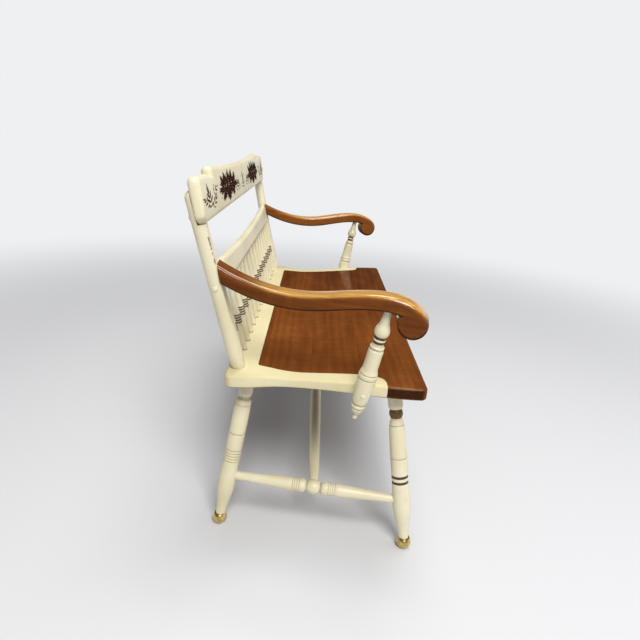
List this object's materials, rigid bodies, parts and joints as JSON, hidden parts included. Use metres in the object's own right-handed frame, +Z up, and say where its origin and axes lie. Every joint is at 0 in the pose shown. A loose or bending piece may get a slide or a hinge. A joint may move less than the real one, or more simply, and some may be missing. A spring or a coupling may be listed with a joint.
{
  "type": "painted bench",
  "caption": "Low-backed painted wooden bench with a dished plank seat, spindled back, scrolled arms, splayed turned legs, stretchers and brass ball feet.",
  "frame": {"origin": "on the floor, under the middle of the bench's bounding box", "axes": "+X along the bench towards its right end as a sitter has it on their left, -Y towards the front, +Z up"},
  "size_m": [1.2296, 0.558, 0.8822],
  "materials": {
    "cream_paint": "satin cream paint over wood, slightly yellowed",
    "stained_maple": "glossy reddish-brown stain under clear varnish",
    "brass": "polished brass",
    "screw_steel": "plain steel",
    "bare_birch": "bare turned dowel"
  },
  "bodies": {
    "root": {"arm_dowel_left": "bare_birch", "arm_dowel_right": "bare_birch", "arm_left": "stained_maple", "arm_right": "stained_maple", "arm_support_left": "cream_paint", "arm_support_right": "cream_paint", "back_post_left": "cream_paint", "back_post_right": "cream_paint", "button_crest_left": "cream_paint", "button_crest_right": "cream_paint", "button_rail_left": "cream_paint", "button_rail_right": "cream_paint", "button_support_left": "cream_paint", "button_support_right": "cream_paint", "crest_rail": "cream_paint", "foot_front_left": "brass", "foot_front_right": "brass", "foot_rear_left": "brass", "foot_rear_right": "brass", "leg_front_left": "cream_paint", "leg_front_right": "cream_paint", "leg_rear_left": "cream_paint", "leg_rear_right": "cream_paint", "medial_stretcher": "cream_paint", "mid_rail": "cream_paint", "screw_crest_left": "screw_steel", "screw_crest_right": "screw_steel", "screw_rail_left": "screw_steel", "screw_rail_right": "screw_steel", "screw_support_left": "screw_steel", "screw_support_right": "screw_steel", "seat": "stained_maple", "side_stretcher_left": "cream_paint", "side_stretcher_right": "cream_paint", "spindle_01": "cream_paint", "spindle_02": "cream_paint", "spindle_03": "cream_paint", "spindle_04": "cream_paint", "spindle_05": "cream_paint", "spindle_06": "cream_paint", "spindle_07": "cream_paint", "spindle_08": "cream_paint", "spindle_09": "cream_paint", "spindle_10": "cream_paint", "spindle_11": "cream_paint", "spindle_12": "cream_paint", "spindle_13": "cream_paint", "spindle_14": "cream_paint", "spindle_15": "cream_paint"}
  },
  "joints": []
}
